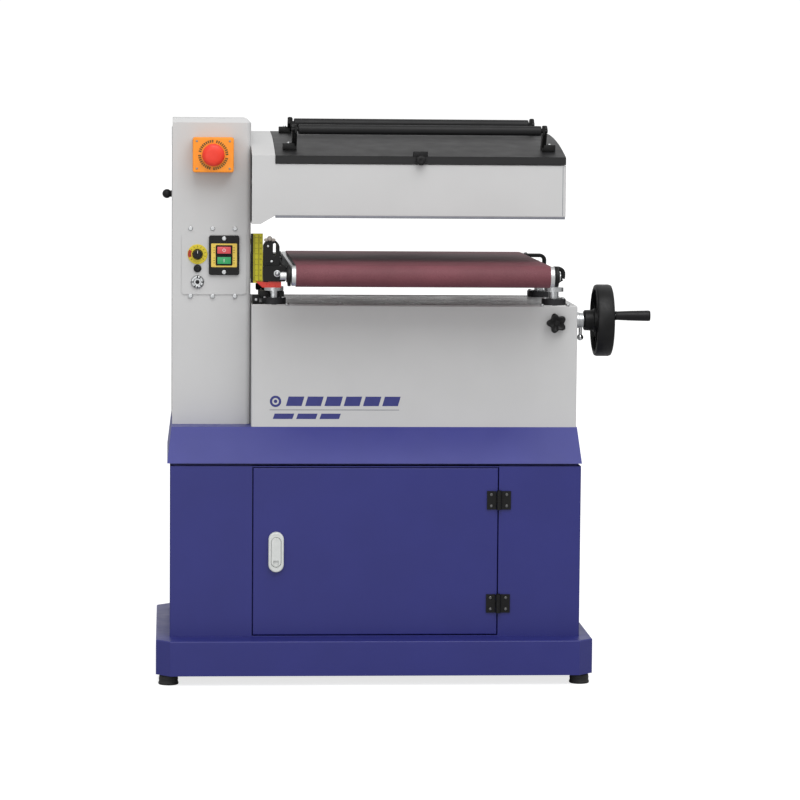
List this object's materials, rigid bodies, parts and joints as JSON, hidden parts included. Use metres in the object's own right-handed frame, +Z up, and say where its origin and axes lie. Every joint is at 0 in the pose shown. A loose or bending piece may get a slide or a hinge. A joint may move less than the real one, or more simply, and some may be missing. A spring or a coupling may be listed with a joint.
{
  "type": "drum sander",
  "caption": "Open-ended drum sander on a closed cabinet stand, with a lifting conveyor table, hinged hood, sprung pressure rollers, handwheel and front controls.",
  "frame": {"origin": "middle of the machine's footprint on the floor (the middle of its bounding box at its base)", "axes": "+Z up, -Y towards the operator, +X to the operator's right, towards the handwheel"},
  "size_m": [0.913, 0.5769, 1.029],
  "materials": {
    "blue_paint": "powder coat, satin",
    "grey_paint": "powder coat, satin",
    "dark_paint": "powder coat, satin",
    "black_paint": "powder coat, satin",
    "black_plastic": "moulded",
    "pale_plastic": "moulded",
    "orange_plastic": "moulded",
    "red_plastic": "moulded",
    "green_plastic": "moulded",
    "yellow_print": "printed",
    "red_paint": "enamel",
    "steel": "zinc plated",
    "bronze": "machined",
    "cast_iron": "cast",
    "aluminium": "turned",
    "rubber": "moulded",
    "abrasive_cloth": "abrasive on cloth"
  },
  "bodies": {
    "frame": {"plinth": "blue_paint", "feet": "rubber", "machine_screws": "steel", "cabinet": "blue_paint", "cowl": "blue_paint", "fixed_hinges": "black_paint", "motor": "black_paint", "bed_housing": "grey_paint", "bed_top_plate": "dark_paint", "column": "grey_paint", "control_panel": "grey_paint", "head_frame": "grey_paint", "flange_bearings": "cast_iron", "dust_port": "grey_paint", "stop_box": "orange_plastic", "electrical_fittings": "black_plastic", "switch_plate": "black_plastic", "height_scale": "yellow_print", "lift_chain": "steel", "drive_belt": "rubber"},
    "drum": {"drum": "aluminium", "abrasive_wrap": "abrasive_cloth"},
    "motor_pulley": {"motor_pulley": "cast_iron"},
    "infeed_carrier": {"infeed_carrier": "steel"},
    "outfeed_carrier": {"outfeed_carrier": "steel"},
    "infeed_roller": {"infeed_roller": "rubber"},
    "outfeed_roller": {"outfeed_roller": "rubber"},
    "hood": {"hood": "dark_paint", "return_roller_brackets": "black_paint"},
    "hood_knob": {"hood_knob": "black_plastic"},
    "front_return_roller": {"front_return_roller": "black_paint"},
    "rear_return_roller": {"rear_return_roller": "black_paint"},
    "table": {"table_frame": "steel", "conveyor_belt": "abrasive_cloth", "roller_brackets": "black_paint", "table_guard": "black_paint", "height_pointer": "red_paint", "gear_motor": "black_paint", "screw_posts": "steel"},
    "drive_roller": {"drive_roller": "steel"},
    "idler_roller": {"idler_roller": "steel"},
    "lift_nut_front_left": {"lift_nut_front_left": "bronze"},
    "lift_nut_front_right": {"lift_nut_front_right": "bronze"},
    "lift_nut_rear_left": {"lift_nut_rear_left": "bronze"},
    "lift_nut_rear_right": {"lift_nut_rear_right": "bronze"},
    "lift_drive": {"lift_drive": "steel"},
    "handwheel": {"handwheel": "black_plastic", "handwheel_shaft": "steel"},
    "handwheel_grip": {"handwheel_grip": "black_plastic"},
    "door": {"cabinet_door": "blue_paint", "door_hinge_leaves": "black_paint", "latch_case": "pale_plastic"},
    "latch_lever": {"latch_lever": "pale_plastic"},
    "stop_mushroom": {"stop_mushroom": "red_plastic"},
    "start_button": {"start_button": "green_plastic"},
    "stop_button": {"stop_button": "red_plastic"},
    "speed_knob": {"speed_knob": "black_plastic"},
    "star_knob": {"star_knob": "black_plastic"},
    "clamp_lever": {"clamp_lever": "steel"},
    "cover_knob": {"cover_knob": "black_plastic"}
  },
  "joints": [
    {"name": "handwheel_turn", "type": "hinge", "parent": "frame", "child": "handwheel", "pos_m": [0.3185, -0.076, 0.658], "axis": [1, 0, 0], "range_deg": [0, 6750]},
    {"name": "table_lift", "type": "slide", "parent": "frame", "child": "table", "axis": [0, 0, 1], "range_m": [0, 0.075]},
    {"name": "grip_spin", "type": "hinge", "parent": "handwheel", "child": "handwheel_grip", "pos_m": [0.424, -0.128, 0.67], "axis": [1, 0, 0], "continuous": true},
    {"name": "lift_drive_spin", "type": "hinge", "parent": "frame", "child": "lift_drive", "pos_m": [0.2735, -0.076, 0.613], "axis": [0, 0, 1], "range_deg": [0, 6750]},
    {"name": "lift_nut_front_left_spin", "type": "hinge", "parent": "frame", "child": "lift_nut_front_left", "pos_m": [-0.2415, -0.127, 0.613], "axis": [0, 0, 1], "range_deg": [0, 7942.2]},
    {"name": "lift_nut_rear_left_spin", "type": "hinge", "parent": "frame", "child": "lift_nut_rear_left", "pos_m": [-0.2415, 0.127, 0.613], "axis": [0, 0, 1], "range_deg": [0, 7942.2]},
    {"name": "lift_nut_front_right_spin", "type": "hinge", "parent": "frame", "child": "lift_nut_front_right", "pos_m": [0.2765, -0.127, 0.613], "axis": [0, 0, 1], "range_deg": [0, 7942.2]},
    {"name": "lift_nut_rear_right_spin", "type": "hinge", "parent": "frame", "child": "lift_nut_rear_right", "pos_m": [0.2765, 0.127, 0.613], "axis": [0, 0, 1], "range_deg": [0, 7942.2]},
    {"name": "drive_roller_spin", "type": "hinge", "parent": "table", "child": "drive_roller", "pos_m": [0.0235, 0.2685, 0.749], "axis": [1, 0, 0], "continuous": true},
    {"name": "idler_roller_spin", "type": "hinge", "parent": "table", "child": "idler_roller", "pos_m": [0.0235, -0.2685, 0.749], "axis": [1, 0, 0], "continuous": true},
    {"name": "drum_spin", "type": "hinge", "parent": "frame", "child": "drum", "pos_m": [0.0235, 0, 0.912], "axis": [1, 0, 0], "continuous": true},
    {"name": "motor_spin", "type": "hinge", "parent": "frame", "child": "motor_pulley", "pos_m": [-0.3625, 0, 0.215], "axis": [1, 0, 0], "continuous": true},
    {"name": "infeed_press", "type": "slide", "parent": "frame", "child": "infeed_carrier", "axis": [0, 0, 1], "range_m": [0, 0.005], "stiffness_N_per_m": 8000, "springref_m": -0.004},
    {"name": "infeed_roller_spin", "type": "hinge", "parent": "infeed_carrier", "child": "infeed_roller", "pos_m": [0.0235, -0.097, 0.8615], "axis": [1, 0, 0], "continuous": true},
    {"name": "outfeed_press", "type": "slide", "parent": "frame", "child": "outfeed_carrier", "axis": [0, 0, 1], "range_m": [0, 0.005], "stiffness_N_per_m": 8000, "springref_m": -0.004},
    {"name": "outfeed_roller_spin", "type": "hinge", "parent": "outfeed_carrier", "child": "outfeed_roller", "pos_m": [0.0235, 0.097, 0.8615], "axis": [1, 0, 0], "continuous": true},
    {"name": "hood_hinge", "type": "hinge", "parent": "frame", "child": "hood", "pos_m": [0.0235, 0.185, 0.953], "axis": [-1, 0, 0], "range_deg": [0, 75]},
    {"name": "hood_knob_turn", "type": "hinge", "parent": "hood", "child": "hood_knob", "pos_m": [0.0235, -0.18, 0.9558], "axis": [0, -1, 0], "range_deg": [-90, 0]},
    {"name": "front_return_spin", "type": "hinge", "parent": "hood", "child": "front_return_roller", "pos_m": [0.0235, -0.146, 1.0105], "axis": [1, 0, 0], "continuous": true},
    {"name": "rear_return_spin", "type": "hinge", "parent": "hood", "child": "rear_return_roller", "pos_m": [0.0235, 0.082, 1.0195], "axis": [1, 0, 0], "continuous": true},
    {"name": "door_hinge", "type": "hinge", "parent": "frame", "child": "door", "pos_m": [0.1711, -0.2113, 0.144], "axis": [0, 0, 1], "range_deg": [0, 110]},
    {"name": "latch_lift", "type": "hinge", "parent": "door", "child": "latch_lever", "pos_m": [-0.2375, -0.213, 0.2645], "axis": [1, 0, 0], "range_deg": [-40, 0]},
    {"name": "emergency_stop_push", "type": "slide", "parent": "frame", "child": "stop_mushroom", "axis": [0, 1, 0], "range_m": [0, 0.004], "stiffness_N_per_m": 800},
    {"name": "start_push", "type": "slide", "parent": "frame", "child": "start_button", "axis": [0, 1, 0], "range_m": [0, 0.003], "stiffness_N_per_m": 500},
    {"name": "stop_push", "type": "slide", "parent": "frame", "child": "stop_button", "axis": [0, 1, 0], "range_m": [0, 0.003], "stiffness_N_per_m": 500},
    {"name": "speed_turn", "type": "hinge", "parent": "frame", "child": "speed_knob", "pos_m": [-0.3815, -0.101, 0.779], "axis": [0, 1, 0], "range_deg": [0, 270]},
    {"name": "star_knob_turn", "type": "hinge", "parent": "frame", "child": "star_knob", "pos_m": [0.2785, -0.152, 0.658], "axis": [0, -1, 0], "range_deg": [0, 360]},
    {"name": "clamp_lever_turn", "type": "hinge", "parent": "frame", "child": "clamp_lever", "pos_m": [0.333, -0.076, 0.658], "axis": [0, 0, 1], "range_deg": [-60, 60]},
    {"name": "cover_knob_turn", "type": "hinge", "parent": "frame", "child": "cover_knob", "pos_m": [-0.4275, -0.06, 0.889], "axis": [1, 0, 0], "range_deg": [0, 90]}
  ],
  "couplings": [
    {"joint": "handwheel_turn", "follows": "table_lift", "rad_per_m": 1570.8},
    {"joint": "lift_drive_spin", "follows": "table_lift", "rad_per_m": 1570.8},
    {"joint": "lift_nut_front_left_spin", "follows": "table_lift", "rad_per_m": 1848},
    {"joint": "lift_nut_front_right_spin", "follows": "table_lift", "rad_per_m": 1848},
    {"joint": "lift_nut_rear_left_spin", "follows": "table_lift", "rad_per_m": 1848},
    {"joint": "lift_nut_rear_right_spin", "follows": "table_lift", "rad_per_m": 1848},
    {"joint": "idler_roller_spin", "follows": "drive_roller_spin", "ratio": 1},
    {"joint": "motor_spin", "follows": "drum_spin", "ratio": 1.125}
  ]
}
